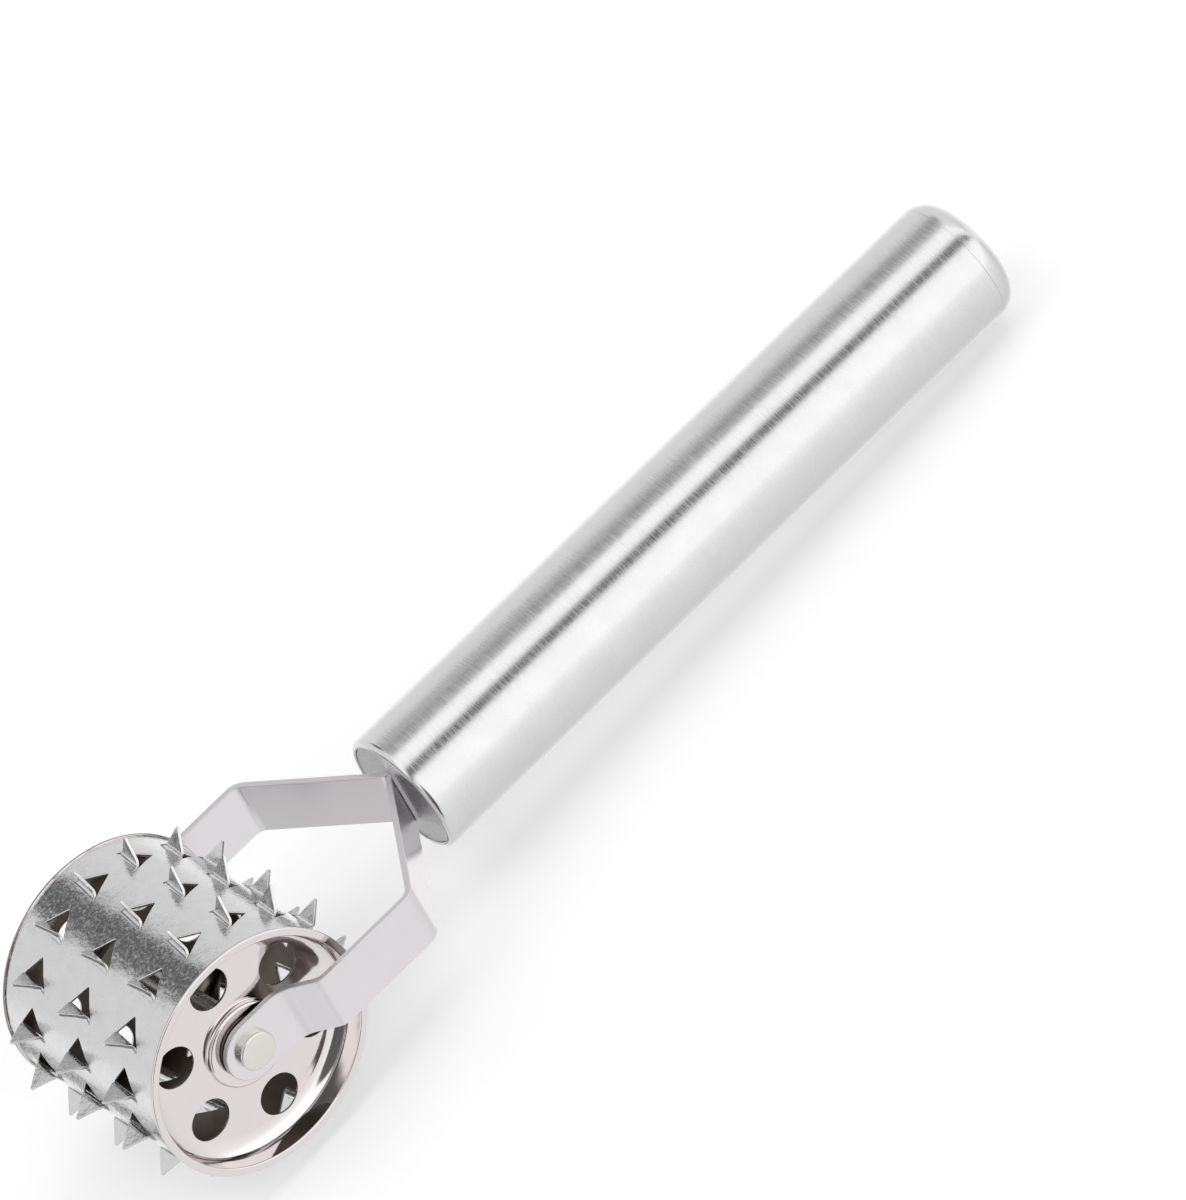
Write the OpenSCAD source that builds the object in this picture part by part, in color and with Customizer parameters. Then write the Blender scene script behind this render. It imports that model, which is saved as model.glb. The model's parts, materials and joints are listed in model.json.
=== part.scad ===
// Rolling meat tenderizer: a toothed sheet-metal drum that turns freely in a two-armed
// fork, on a round steel handle. It lies on a table, on one row of teeth and on the rear
// edge of the handle. Millimetres, +Z up.
// Pieces are drawn in the tool's own frame: the drum's centre is the origin, +X runs
// along the handle to its rear, +Y along the axle to the right-hand arm.

/* [Drum] */
// Outer radius of the rolled drum sheet
drum_r = 23; // [22:0.5:26]
// Length of the drum over both rims
drum_len = 44.1; // [43.1:1:52.1]
// Thickness of the drum sheet
drum_sheet = 0.6; // [0.5:0.1:0.8]

/* [Teeth] */
// Rows of teeth round the drum
tooth_rows = 15; // [9:1:16]
// Teeth in each row
teeth_per_row = 3; // [2:1:3]
// Distance between neighbouring teeth along a row
tooth_pitch = 13.5; // [11:0.5:14]
// Width of a tooth where its fold begins
tooth_base = 7; // [5:0.25:8]
// Height of a tooth's point above the drum sheet
tooth_h = 4.75; // [3.5:0.25:6]
// Length of a tooth's hole, from the fold to the hole's point
hole_len = 4.2; // [3.4:0.2:4.8]
// How far the points of a tooth and its hole lie off the middle of the fold
point_offset = 0.33; // [0:0.11:0.66]
// Width of a tooth's blunted point
point_w = 0.5; // [0.3:0.1:0.7]
// Lean of a tooth away from its hole, past upright
tooth_lean = 12; // [4:1:20]
// Radius inside the fold of a tooth
fold_r = 0.8; // [0.6:0.1:1]
// Turn of the fold lines away from the drum's axis
fold_skew = 7.4; // [0:0.2:12]
// Angle of the first row's fold, from the handle's direction
first_row_angle = 15.5; // [0:0.5:24]
// Offset of the rows along the axle
row_shift = 0.4; // [-1:0.1:1]

/* [End caps] */
// Thickness of an end cap's sheet
cap_sheet = 0.5; // [0.4:0.05:0.6]
// How far the cap's rim stands out past the drum sheet
rim_overhang = 0.4; // [0.3:0.1:0.6]
// Thickness of the cap's folded rim
rim_t = 0.6; // [0.5:0.1:0.8]
// Depth of the cap's floor below its rim
cap_depth = 4.85; // [4.55:0.1:5.45]
// Distance from the drum's bore in to the ridge below the cap's wall
ridge_in = 1.1; // [1:0.1:1.6]
// Height of the ridge above the floor
ridge_h = 1.2; // [0.9:0.1:1.5]
// Width of the rounded corner between the ridge and the cap's flat floor
corner_w = 3.2; // [2.6:0.1:3.6]
// Holes round each cap
cap_holes = 6; // [4:1:6]
// Radius of a hole in the cap
cap_hole_r = 4; // [3:0.25:4]
// Radius of the circle that the cap's holes lie on
cap_hole_circle_r = 14.9; // [14:0.1:15]
// Angle of the left cap's first hole, from the handle's direction
cap_hole_angle = 32; // [0:1:60]
// Turn of the right cap against the left one
cap_turn = 18; // [0:1:60]
// Radius of the raised boss at the cap's centre
boss_r = 8.2; // [7.5:0.1:8.5]
// Height of the boss above the cap's floor
boss_h = 1.3; // [1.1:0.1:1.5]
// Radius of the boss's rounded shoulder
boss_shoulder_r = 0.5; // [0.3:0.1:0.7]

/* [Axle] */
// Radius of the rivet's shank
rivet_r = 2; // [1.5:0.1:2.4]
// Radius of the rivet's two heads
rivet_head_r = 3.7; // [3:0.1:4.8]
// Height of the formed head
rivet_head_h = 1.4; // [1.2:0.1:2.2]
// Height of the hammered head on the other side
peened_head_h = 1.1; // [0.8:0.1:1.4]
// Outer radius of the spacer sleeve that the drum turns on
sleeve_r = 3.5; // [2.8:0.1:3.9]
// Radial play between the sleeve and the bushes
running_play = 0.05; // [0.02:0.01:0.08]
// Outer radius of a thrust washer
washer_r = 5.6; // [5:0.1:6]
// Thickness of a thrust washer
washer_t = 0.3; // [0.2:0.05:0.4]
// Outer radius of the bush in the boss
bush_r = 5; // [4.6:0.1:5.4]
// Outer radius of the bush's flange
bush_flange_r = 6.4; // [6:0.1:6.8]
// Thickness of the bush's flange
bush_flange_t = 1; // [0.8:0.1:1.4]
// How far the bush stands out of the boss
bush_proud = 0.1; // [0.05:0.05:0.2]
// Side play of the drum on each side
side_play = 0.15; // [0.1:0.05:0.3]

/* [Fork] */
// Width of a fork strip
strip_w = 12.1; // [11:0.1:13.5]
// Thickness of a fork strip
strip_t = 1.2; // [1:0.1:1.5]
// Gap between the drum's rim and each arm
arm_gap = 2.65; // [1.9:0.25:4.15]
// Distance from the drum's centre to the bend at the wide end of the fork
fork_bend_x = 37.2; // [36.2:0.5:40.2]
// Distance from the drum's centre to the outer end of the step in each arm
step_x = 15; // [14.5:0.25:18]
// Angle of the step in each arm
step_angle = 45; // [40:1:55]
// Radius of the bends at the step's outer end and at the wide end, at the middle of the strip
sharp_bend_r = 3.2; // [2.4:0.2:4]
// Radius of the gentle bend beside the rivet, at the middle of the strip
gentle_bend_r = 6.4; // [3:0.2:6.4]

/* [Handle] */
// Radius of the handle
handle_r = 12.5; // [11:0.25:15]
// Length of the handle over its two ends
handle_len = 145; // [110:1:170]
// Wall of the handle tube
handle_wall = 1.2; // [0.8:0.1:1.2]
// Radius of the rounded lip at the front of the handle
lip_r = 1.3; // [1:0.1:1.8]
// Radius of the rounded edge at the rear of the handle
rear_edge_r = 4.5; // [3:0.5:6]
// Distance from the drum's centre to the front of the handle
handle_x = 53.9; // [53.9:0.5:60.4]
// Thickness of the disc in the front of the handle
disc_t = 1; // [0.8:0.1:1.4]
// How far the disc is set in
disc_set_in = 0.25; // [0.15:0.05:0.5]
// Length of the fork's tang inside the handle
tang_len = 14; // [8:1:30]

/* [Hidden] */
$fn = 96;

// Gap between pieces that are pushed or welded together
seat_gap = 0.05;
// How far a cutting shape runs past what it cuts
past = 1;
// Straight pieces in each rounded corner of an outline
arc_steps = 8;
// Fillet at the foot of the boss
boss_foot_r = 0.3;
// Radius of the rounded edge of the rivet's heads
head_edge_r = 0.4;

// Distances along the axle from the drum's middle
rim_y = drum_len / 2;
shell_y = rim_y - rim_t;
floor_y = rim_y - cap_depth;
boss_y = floor_y + boss_h;
nose_y = boss_y + bush_proud;
arm_inner_y = nose_y + side_play + washer_t;
arm_outer_y = arm_inner_y + strip_t;

// Radii that follow from the ones above
drum_bore_r = drum_r - drum_sheet;
cap_r = drum_bore_r - seat_gap;
ridge_r = drum_bore_r - ridge_in;
cap_floor_r = ridge_r - corner_w;
sleeve_bore_r = rivet_r + seat_gap;
journal_r = sleeve_r + running_play;
cap_bore_r = bush_r + seat_gap;

// Middle line of the fork's strip, seen from above
tab_mid = arm_inner_y + strip_t / 2;
arm_mid = rim_y + arm_gap + strip_t / 2;
root_mid = strip_t / 2;
root_x = handle_x - 0.5;
step_start_x = step_x - (arm_mid - tab_mid) / tan(step_angle);

// Distances along the handle from the drum's centre, and its radii
disc_x = handle_x + disc_set_in;
handle_bore_r = handle_r - handle_wall;
mouth_r = min(handle_r - lip_r, handle_bore_r - 0.1);
disc_r = mouth_r - seat_gap;
straight_end_x = handle_x + handle_len - rear_edge_r;

// A tooth's point: reach from the drum's axis and angle from its fold
fold_out_r = fold_r + drum_sheet;
fold_angle = 90 + tooth_lean;
lean_start = fold_out_r * (1 - sin(fold_angle));
lean_rise = fold_r - fold_out_r * cos(fold_angle);
point_lean = lean_start + (tooth_h - lean_rise) * tan(tooth_lean);
point_side = point_lean * cos(fold_skew) - point_offset * sin(fold_skew);
point_reach = norm([drum_r + tooth_h, point_side]);
point_angle = atan(point_side / (drum_r + tooth_h));

// The table touches the lowest points of the teeth and the rear edge of the handle
row_step = 360 / tooth_rows;
rows = [0 : tooth_rows - 1];
function tip_angle(row) = first_row_angle + point_angle + row * row_step;
function tip_at(row) = point_reach * [cos(tip_angle(row)), sin(tip_angle(row))];
function slope_to(from, centre, r) =
    let (d = centre - from)
    atan2(d.y, d.x) - asin(r / norm(d));
rear_edge_centre = [straight_end_x, rear_edge_r - handle_r];
tilt = max([for (row = rows) slope_to(tip_at(row), rear_edge_centre, rear_edge_r)]);
axle_height = point_reach * max([for (row = rows) -sin(tip_angle(row) - tilt)]);
drum_reach = point_reach * max([for (row = rows) -cos(tip_angle(row) - tilt)]);
rear_reach = straight_end_x * cos(tilt) + (handle_r - rear_edge_r) * sin(tilt) + rear_edge_r;
middle_x = (rear_reach - drum_reach) / 2;

// Points on an arc round a centre, from one angle to another
function arc(centre, r, from, to) = [
    for (i = [0 : arc_steps])
        let (a = from + (to - from) * i / arc_steps)
        centre + r * [cos(a), sin(a)]
];

// Sets a piece from the tool's own frame down on the table
module placed() {
    translate([-middle_x, 0, axle_height])
        rotate([0, tilt, 0])
            children();
}

// Turns a shape drawn round Z so that Z runs outwards along one side's half of the axle
module on_axle(side) {
    rotate([-90 * side, 0, 0])
        children();
}

// Turns a shape drawn round Z so that Z runs along the handle from its front
module on_handle() {
    translate([handle_x, 0, 0])
        rotate([0, 90, 0])
            children();
}

// A flat ring or a tube, standing on Z = 0
module ring(r, bore, h) {
    difference() {
        cylinder(r = r, h = h);
        translate([0, 0, -past])
            cylinder(r = bore, h = h + 2 * past);
    }
}

// Stands a shape on the drum at a tooth's fold: Z outwards, X along the fold, and the
// hole on the -Y side
module at_tooth(row, place) {
    y = row_shift + (place - (teeth_per_row - 1) / 2) * tooth_pitch;
    rotate([0, -first_row_angle - row * row_step, 0])
        translate([drum_r, y, 0])
            rotate([0, 90, 0])
                rotate([0, 0, 90 - fold_skew])
                    children();
}

module each_tooth() {
    for (row = rows)
        for (place = [0 : teeth_per_row - 1])
            at_tooth(row, place)
                children();
}

// The triangle that is cut free in the sheet and leaves the hole
module tooth_hole() {
    translate([0, 0, -drum_sheet - past])
        linear_extrude(drum_sheet + 2 * past)
            polygon([
                [-tooth_base / 2, fold_out_r - 0.1],
                [tooth_base / 2, fold_out_r - 0.1],
                [point_offset, -hole_len]
            ]);
}

// Section across a tooth's fold, with the hole on the left: the sheet comes in from the
// right, turns up round the fold and leans back
function fold_section() =
    let (
        centre = [fold_out_r, fold_r],
        leaning = 2 * tooth_h * [sin(tooth_lean), cos(tooth_lean)],
        outside = arc(centre, fold_out_r, -90, -90 - fold_angle),
        inside = arc(centre, fold_r, -90 - fold_angle, -90)
    )
    concat(
        [[fold_out_r + 0.4, 0.05 - drum_sheet]],
        outside,
        [outside[arc_steps] + leaning, inside[0] + leaning],
        inside,
        [[fold_out_r + 0.4, -0.05]]
    );

// Front view of a tooth: a triangle with a blunted point
function tooth_front() = [
    [-tooth_base / 2, -drum_sheet],
    [tooth_base / 2, -drum_sheet],
    [point_offset + point_w / 2, tooth_h - point_w / 2],
    [point_offset + point_w / 6, tooth_h],
    [point_offset - point_w / 6, tooth_h],
    [point_offset - point_w / 2, tooth_h - point_w / 2]
];

module folded_tooth() {
    intersection() {
        rotate([90, 0, 90])
            translate([0, 0, -tooth_base / 2])
                linear_extrude(tooth_base)
                    polygon(fold_section());
        translate([0, 2 * tooth_h, 0])
            rotate([90, 0, 0])
                linear_extrude(4 * tooth_h)
                    polygon(tooth_front());
    }
}

// Rolled sheet with triangular holes, and the teeth that are folded out of them
module drum_shell() {
    color("darkgrey")
        placed()
            union() {
                difference() {
                    on_axle(1)
                        translate([0, 0, -shell_y])
                            ring(drum_r, drum_bore_r, 2 * shell_y);
                    each_tooth()
                        tooth_hole();
                }
                each_tooth()
                    folded_tooth();
            }
}

// Half section of an end cap: radius across, distance along the axle upwards
function cap_section() =
    let (
        corner_rise = ridge_h - 0.05,
        corner_run = ridge_r - 0.15 - cap_floor_r,
        corner_angle = 2 * atan(corner_rise / corner_run),
        corner_r = corner_run / sin(corner_angle),
        corner = [cap_floor_r, floor_y + corner_r],
        wall_r = cap_r - cap_sheet,
        shoulder = [boss_r - boss_shoulder_r, boss_y - boss_shoulder_r],
        foot = [boss_r + boss_foot_r, floor_y + boss_foot_r]
    )
    concat(
        [[cap_bore_r, boss_y]],
        arc(shoulder, boss_shoulder_r, 90, 0),
        arc(foot, boss_foot_r, 180, 270),
        arc(corner, corner_r, -90, corner_angle - 90),
        [[ridge_r, floor_y + ridge_h]],
        arc([wall_r + rim_t / 2, rim_y - rim_t / 2], rim_t / 2, 180, 90),
        arc([drum_r + rim_overhang - rim_t / 2, rim_y - rim_t / 2], rim_t / 2, 90, -90),
        [[cap_r, rim_y - rim_t], [ridge_r + cap_sheet + 0.1, floor_y + ridge_h - cap_sheet / 2]],
        arc(corner, corner_r + cap_sheet, corner_angle - 90, -90),
        [
            [boss_r - cap_sheet, floor_y - cap_sheet],
            [boss_r - cap_sheet, boss_y - cap_sheet],
            [cap_bore_r, boss_y - cap_sheet]
        ]
    );

module end_cap(side) {
    first_hole = cap_hole_angle + (side > 0 ? cap_turn : 0);
    color("silver")
        placed()
            on_axle(side)
                difference() {
                    rotate_extrude()
                        polygon(cap_section());
                    for (i = [0 : cap_holes - 1])
                        rotate([0, 0, -side * (first_hole + i * 360 / cap_holes)])
                            translate([cap_hole_circle_r, 0, floor_y - cap_sheet - past])
                                cylinder(r = cap_hole_r, h = cap_sheet + 2 * past);
                }
}

// Flanged bush, pushed into the boss from inside the drum
module hub_bush(side) {
    flange_y = boss_y - cap_sheet - bush_flange_t;
    color("tan")
        placed()
            on_axle(side)
                difference() {
                    translate([0, 0, flange_y])
                        union() {
                            cylinder(r = bush_flange_r, h = bush_flange_t);
                            cylinder(r = bush_r, h = nose_y - flange_y);
                        }
                    translate([0, 0, flange_y - past])
                        cylinder(r = journal_r, h = nose_y - flange_y + 2 * past);
                }
}

// Tube that keeps the two arms apart and carries the drum
module spacer_sleeve() {
    color("lightgrey")
        placed()
            on_axle(1)
                translate([0, 0, -arm_inner_y])
                    ring(sleeve_r, sleeve_bore_r, 2 * arm_inner_y);
}

module thrust_washer(side) {
    color("lightgrey")
        placed()
            on_axle(side)
                translate([0, 0, arm_inner_y - washer_t])
                    ring(washer_r, journal_r, washer_t);
}

// A head with a straight side, a rounded edge and a low dome, standing on Z = 0
module rivet_head(h) {
    rise = 0.1 * h;
    top_r = rivet_head_r - head_edge_r;
    dome_r = (pow(top_r, 2) + pow(rise, 2)) / (2 * rise);
    rotate_extrude()
        polygon(concat(
            [[0, 0], [rivet_head_r, 0]],
            arc([top_r, h - rise - head_edge_r], head_edge_r, 0, 90),
            arc([0, h - dome_r], dome_r, 90 - asin(top_r / dome_r), 90)
        ));
}

module axle_rivet() {
    shank_y = arm_outer_y + peened_head_h / 2;
    color("whitesmoke")
        placed()
            union() {
                on_axle(1)
                    translate([0, 0, -shank_y])
                        cylinder(r = rivet_r, h = 2 * shank_y);
                on_axle(-1)
                    translate([0, 0, arm_outer_y])
                        rivet_head(rivet_head_h);
                on_axle(1)
                    translate([0, 0, arm_outer_y])
                        rivet_head(peened_head_h);
            }
}

function turned(v, angle) = [
    v.x * cos(angle) - v.y * sin(angle),
    v.x * sin(angle) + v.y * cos(angle)
];

// Points and directions along a bend of radius r between the straight lines a-b and b-c
function bend(a, b, c, r) =
    let (
        u = (b - a) / norm(b - a),
        w = (c - b) / norm(c - b),
        turn = sign(u.x * w.y - u.y * w.x) * acos(u * w),
        start = b - u * r * tan(abs(turn) / 2),
        spoke = turned(u, -90 * sign(turn)) * r
    )
    [
        for (i = [0 : arc_steps])
            [start - spoke + turned(spoke, turn * i / arc_steps), turned(u, turn * i / arc_steps)]
    ];

// Outline of the strip, seen from above, along the points and directions of its middle line
function strip_outline(path) = concat(
    [for (s = path) s[0] + turned(s[1], 90) * strip_t / 2],
    [for (i = [len(path) - 1 : -1 : 0]) path[i][0] - turned(path[i][1], 90) * strip_t / 2]
);

// Middle line of one arm: round tab, step, long side, leg to the handle, and tang
function arm_path() =
    let (
        tab_end = [-strip_w, tab_mid],
        step_low = [step_start_x, tab_mid],
        step_high = [step_x, arm_mid],
        wide_end = [fork_bend_x, arm_mid],
        root = [root_x, root_mid],
        tang_end = [handle_x + tang_len, root_mid]
    )
    concat(
        [[tab_end, [1, 0]]],
        bend(tab_end, step_low, step_high, gentle_bend_r),
        bend(step_low, step_high, wide_end, sharp_bend_r),
        bend(step_high, wide_end, root, sharp_bend_r),
        bend(wide_end, root, tang_end, strip_t),
        [[tang_end, [1, 0]]]
    );

// The strip seen from its side, with one round end at the axle
module arm_side_view() {
    depth = arm_mid + strip_t;
    union() {
        on_axle(1)
            cylinder(r = strip_w / 2, h = depth);
        translate([0, 0, -strip_w / 2])
            cube([handle_x + tang_len + past, depth, strip_w]);
    }
}

module fork_arm(side) {
    color("gainsboro")
        placed()
            mirror([0, side < 0 ? 1 : 0, 0])
                difference() {
                    intersection() {
                        translate([0, 0, -strip_w])
                            linear_extrude(2 * strip_w)
                                polygon(strip_outline(arm_path()));
                        arm_side_view();
                    }
                    on_axle(1)
                        translate([0, 0, arm_inner_y - past])
                            cylinder(r = sleeve_bore_r, h = strip_t + 2 * past);
                }
}

// Half section of the handle tube: radius across, distance from its front upwards
function tube_section() =
    let (
        lip = [handle_r - lip_r, lip_r],
        rear = handle_len - rear_edge_r
    )
    concat(
        [[mouth_r, 0]],
        arc(lip, lip_r, -90, 0),
        [
            [handle_r, rear],
            [handle_bore_r, rear],
            [handle_bore_r, disc_set_in + disc_t],
            [mouth_r, disc_set_in + disc_t]
        ]
    );

module handle_tube() {
    color("lightgrey")
        placed()
            on_handle()
                rotate_extrude()
                    polygon(tube_section());
}

// Disc that closes the front of the handle, slotted for the two tangs
module handle_front_disc() {
    slot_t = 2 * (strip_t + seat_gap);
    slot_w = strip_w + 2 * seat_gap;
    color("silver")
        placed()
            difference() {
                translate([disc_set_in, 0, 0])
                    on_handle()
                        cylinder(r = disc_r, h = disc_t);
                translate([disc_x - past, -slot_t / 2, -slot_w / 2])
                    cube([disc_t + 2 * past, slot_t, slot_w]);
            }
}

// Half section of the rear cap: a round-edged lid with a skirt inside the tube
function rear_cap_section() =
    let (
        skirt_r = handle_bore_r - seat_gap,
        skirt_bore_r = skirt_r - handle_wall,
        skirt_len = 4,
        edge = [handle_r - rear_edge_r, handle_len - rear_edge_r],
        edge_bore_r = skirt_bore_r - edge.x
    )
    concat(
        [[0, edge.y + edge_bore_r]],
        arc(edge, edge_bore_r, 90, 0),
        [
            [skirt_bore_r, edge.y - skirt_len],
            [skirt_r, edge.y - skirt_len],
            [skirt_r, edge.y]
        ],
        arc(edge, rear_edge_r, 0, 90),
        [[0, handle_len]]
    );

module handle_rear_cap() {
    color("silver")
        placed()
            on_handle()
                rotate_extrude()
                    polygon(rear_cap_section());
}

drum_shell();
end_cap(-1);  // end_cap_left
end_cap(1);  // end_cap_right
hub_bush(-1);  // hub_bush_left
hub_bush(1);  // hub_bush_right
spacer_sleeve();
axle_rivet();
thrust_washer(-1);  // thrust_washer_left
thrust_washer(1);  // thrust_washer_right
fork_arm(-1);  // fork_arm_left
fork_arm(1);  // fork_arm_right
handle_tube();
handle_front_disc();
handle_rear_cap();
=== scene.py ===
"""Rolling meat tenderizer: the dressed model, its studio and its camera.

The pieces are drawn in the tool's own frame, in millimetres: the drum's centre is the
origin, +X runs along the handle to its rear, +Y along the axle to the right-hand arm.
to_row() then lays them down on the table, in metres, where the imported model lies.
"""
import json
import math

import bmesh
import bpy
import numpy as np
from mathutils import Matrix, Vector
from mathutils.geometry import delaunay_2d_cdt
from mathutils.kdtree import KDTree


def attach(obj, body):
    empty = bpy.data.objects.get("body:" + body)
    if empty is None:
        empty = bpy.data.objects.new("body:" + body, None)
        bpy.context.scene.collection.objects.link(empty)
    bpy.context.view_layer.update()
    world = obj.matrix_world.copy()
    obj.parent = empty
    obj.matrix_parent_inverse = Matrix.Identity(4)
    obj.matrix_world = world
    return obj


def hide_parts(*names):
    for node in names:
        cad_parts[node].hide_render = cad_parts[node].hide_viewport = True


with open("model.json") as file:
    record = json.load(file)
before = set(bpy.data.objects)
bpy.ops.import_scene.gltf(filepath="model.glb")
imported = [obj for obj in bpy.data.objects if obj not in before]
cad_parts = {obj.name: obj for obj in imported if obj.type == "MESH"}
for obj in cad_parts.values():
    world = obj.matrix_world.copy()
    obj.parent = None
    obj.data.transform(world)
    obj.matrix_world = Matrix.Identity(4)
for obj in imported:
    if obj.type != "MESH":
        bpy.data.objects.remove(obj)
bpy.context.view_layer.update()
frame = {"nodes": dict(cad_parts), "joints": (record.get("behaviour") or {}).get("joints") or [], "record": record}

# Sizes in millimetres and degrees, as in the part's source.
DRUM_R, DRUM_LEN, DRUM_SHEET = 23.0, 44.1, 0.6
TOOTH_ROWS, TEETH_PER_ROW, TOOTH_PITCH = 15, 3, 13.5
TOOTH_BASE, TOOTH_H, HOLE_LEN = 7.0, 4.75, 4.2
POINT_OFFSET, TOOTH_LEAN = 0.33, 12.0
FOLD_R, FOLD_SKEW = 0.8, 7.4
FIRST_ROW_ANGLE, ROW_SHIFT = 15.5, 0.4
CAP_SHEET, RIM_OVERHANG, RIM_T, CAP_DEPTH = 0.5, 0.4, 0.6, 4.85
RIDGE_IN, RIDGE_H, CORNER_W = 1.1, 1.2, 3.2
CAP_HOLES, CAP_HOLE_R, CAP_HOLE_CIRCLE_R = 6, 4.0, 14.9
CAP_HOLE_ANGLE, CAP_TURN = 32.0, 18.0
BOSS_R, BOSS_H, BOSS_SHOULDER_R, BOSS_FOOT_R = 8.2, 1.3, 0.5, 0.3
RIVET_R, RIVET_HEAD_R, RIVET_HEAD_H, PEENED_HEAD_H, HEAD_EDGE_R = 2.0, 3.7, 1.4, 1.1, 0.4
BUSH_R, BUSH_PROUD, SIDE_PLAY, WASHER_T = 5.0, 0.1, 0.15, 0.3
STRIP_W, STRIP_T, ARM_GAP = 12.1, 1.2, 2.65
FORK_BEND_X, STEP_X, STEP_ANGLE = 37.2, 15.0, 45.0
SHARP_BEND_R, GENTLE_BEND_R = 3.2, 6.4
HANDLE_R, HANDLE_LEN, HANDLE_WALL, LIP_R = 12.5, 145.0, 1.2, 1.3
REAR_EDGE_R, HANDLE_X, DISC_T, DISC_SET_IN, TANG_LEN = 4.5, 53.9, 1.0, 0.25, 14.0
SEAT_GAP = 0.05

# Details of the drawing, in millimetres.
ROOT_IN = 0.5  # how far before the handle's front the two strips come together
SEAM_SHADE = 0.3  # from the outer face of a cap's rim to where its foot, painted dark as shadow in the seam, begins
CAP_BEND_R = 0.28  # the bends of a cap's rim
HOLE_LAP = 0.1  # how far a hole in the drum reaches under its tooth
HOLE_CORNERS = (0.2, 0.6, 0.6)  # at its point and at the two ends of the fold
FOOT_LEN, FOOT_THINS = 0.4, 0.3  # a tooth's foot, which sinks into the sheet
TIP_R, TIP_CUT = 0.32, 0.24  # a tooth's rounded point, and what it loses by that
SKIRT_LEN, LID_T = 4, 2.5  # the rear cap's skirt in the tube, and its end wall

# How many sides the handle, a cap and a small hole are drawn with.
HANDLE_SIDES, CAP_SIDES, HOLE_SIDES = 192, 128, 48

# A millimetre in metres, and how many there are in a metre.
MM, PER_METRE = 0.001, 1000

RIM_Y = DRUM_LEN / 2
SHELL_Y = RIM_Y - RIM_T
FLOOR_Y = RIM_Y - CAP_DEPTH
BOSS_Y = FLOOR_Y + BOSS_H
ARM_INNER_Y = BOSS_Y + BUSH_PROUD + SIDE_PLAY + WASHER_T
ARM_OUTER_Y = ARM_INNER_Y + STRIP_T
CAP_R = DRUM_R - DRUM_SHEET - SEAT_GAP
RIDGE_R = DRUM_R - DRUM_SHEET - RIDGE_IN
MOUTH_R = HANDLE_R - LIP_R

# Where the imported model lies: the axle's middle, and the handle's slope to the table.
AXLE = np.array(frame["joints"][0]["pos_m"])
HANDLE_AXIS = frame["record"]["mounts"][0]["axis"]
TILT = math.atan2(-HANDLE_AXIS[2], HANDLE_AXIS[0])
TURN = np.array(Matrix.Rotation(TILT, 3, "Y"))


def to_row(points):
    """Tool frame in millimetres to the row frame in metres."""
    return np.asarray(points) @ TURN.T * MM + AXLE


def turn_to_row(directions):
    return np.asarray(directions) @ TURN.T


def unit(vectors):
    vectors = np.asarray(vectors, float)
    return vectors / np.maximum(np.linalg.norm(vectors, axis=-1, keepdims=True), 1e-12)


# Kinds of face. A dull, shaded face takes a rougher finish whose darker colour is painted shade.
OUTER, DULL_SHADED, CUT = 0.0, 1.0, 2.0


class Skin:
    """Points, outward normals and faces of a piece, in the tool's own frame. Each face
    is of a kind: the outer side of the sheet, a dull face painted darker as shade, or a
    cut edge."""

    def __init__(self):
        self.points, self.normals, self.faces, self.kinds = [], [], [], []

    def add(self, points, normals):
        """Adds points with their normals, and gives the numbers of the new points."""
        start = len(self.points)
        self.points.extend(np.asarray(points, float).tolist())
        self.normals.extend(unit(normals).tolist())
        return np.arange(start, len(self.points))

    def cover(self, faces, kind):
        """Adds faces, each a row of point numbers."""
        self.faces += [tuple(int(v) for v in f) for f in faces]
        self.kinds += [kind] * len(faces)

    def bridge(self, a, b, kind):
        """Joins two closed rows of points with quads."""
        self.cover(list(zip(a, np.roll(a, -1), np.roll(b, -1), b)), kind)

    def fan(self, ring, tip):
        """Closes a ring with triangles to one point."""
        self.cover([(v, w, tip) for v, w in zip(ring, np.roll(ring, -1))], OUTER)

    def mesh(self, name, points):
        mesh = bpy.data.meshes.new(name)
        mesh.from_pydata(points.tolist(), [], self.outward_faces())
        mesh.shade_smooth()
        kind = mesh.attributes.new("kind_of_face", "FLOAT", "FACE")
        kind.data.foreach_set("value", self.kinds)
        return mesh

    def outward_faces(self):
        """The faces, each turned so that it looks the way of its points' normals."""
        p, n = np.array(self.points), np.array(self.normals)
        turned = []
        for f in self.faces:
            q = p[list(f)]
            around = np.cross(q[1] - q[0], q[2] - q[0])
            if len(f) == 4:
                around = around + np.cross(q[2] - q[0], q[3] - q[0])
            turned.append(f if around @ n[list(f)].sum(0) >= 0 else f[::-1])
        return turned


def rounded_line(corners, radii, steps):
    """Points and left-hand normals along a line whose corners are rounded.
    A corner of radius 0 stays sharp and has a point for each of its two sides."""
    corners = np.asarray(corners, float)
    ways = unit(corners[1:] - corners[:-1])
    left = np.stack([-ways[:, 1], ways[:, 0]], 1)
    points, normals = [corners[0]], [left[0]]
    for i in range(1, len(corners) - 1):
        u, w, r = ways[i - 1], ways[i], radii[i - 1]
        turn = math.atan2(u[0] * w[1] - u[1] * w[0], u @ w)
        if r <= 0 or abs(turn) < 1e-6:
            points += [corners[i], corners[i]]
            normals += [left[i - 1], left[i]]
            continue
        side = math.copysign(1, turn)
        first = left[i - 1]
        start = corners[i] - u * r * math.tan(abs(turn) / 2)
        centre = start + side * first * r
        for k in range(steps + 1):
            a = turn * k / steps
            c, s = math.cos(a), math.sin(a)
            n = np.array([first[0] * c - first[1] * s, first[0] * s + first[1] * c])
            points.append(centre - side * n * r)
            normals.append(n)
    points.append(corners[-1])
    normals.append(left[-1])
    return np.array(points), np.array(normals)


def along_axle(side):
    """Places (across, up, along) on one side's half of the axle."""
    return lambda v: np.stack([v[:, 0], side * v[:, 2], v[:, 1]], 1)


def along_handle(v):
    return np.stack([v[:, 2], v[:, 0], v[:, 1]], 1)


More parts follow.
